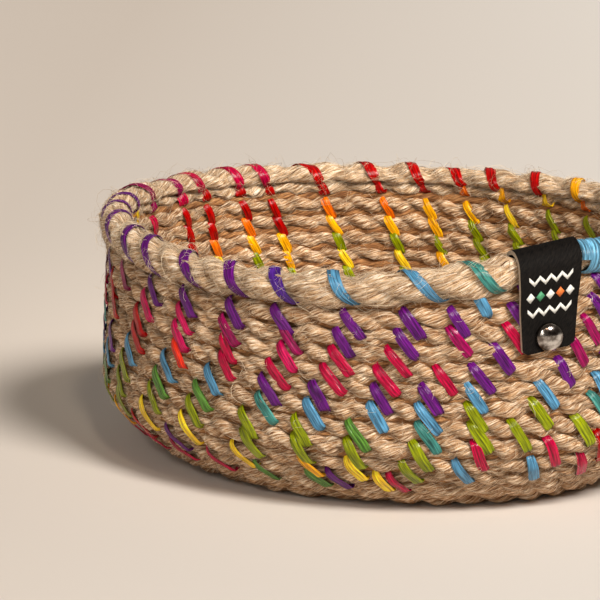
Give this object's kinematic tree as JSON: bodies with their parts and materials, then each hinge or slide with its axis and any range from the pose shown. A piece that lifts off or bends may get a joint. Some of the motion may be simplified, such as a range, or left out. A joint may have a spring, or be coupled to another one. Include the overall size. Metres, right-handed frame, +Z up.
{
  "type": "oval coiled storage basket",
  "caption": "Oval coiled jute basket with a thick rim roll, bright ribbon stitching and a folded, riveted strap tab on the rim.",
  "frame": {"origin": "middle of the base, on the surface the basket stands on", "axes": "+Z up, +X along the oval's long axis, with the strap tab on the +X, -Y quarter of the rim"},
  "size_m": [0.2237, 0.1813, 0.0975],
  "materials": {
    "jute": "matte",
    "rim_jute": "matte",
    "purple": "satin",
    "crimson": "satin",
    "violet": "satin",
    "green": "satin",
    "yellow": "satin",
    "blue": "satin",
    "magenta": "satin",
    "red": "satin",
    "leather": "matte",
    "chrome": "polished"
  },
  "bodies": {
    "root": {"coiled_rope": "jute", "rim_roll": "rim_jute", "wall_stitches_purple": "purple", "wall_stitches_crimson": "crimson", "wall_stitches_violet": "violet", "wall_stitches_green": "green", "wall_stitches_yellow": "yellow", "rim_stitches_blue": "blue", "rim_stitches_purple": "purple", "rim_stitches_magenta": "magenta", "rim_stitches_red": "red", "rim_stitches_yellow": "yellow", "rim_wrap_ribbon": "blue", "tab_strap": "leather", "rivet_cap": "chrome", "rivet_shank": "chrome", "rivet_back_plate": "chrome"}
  },
  "joints": []
}
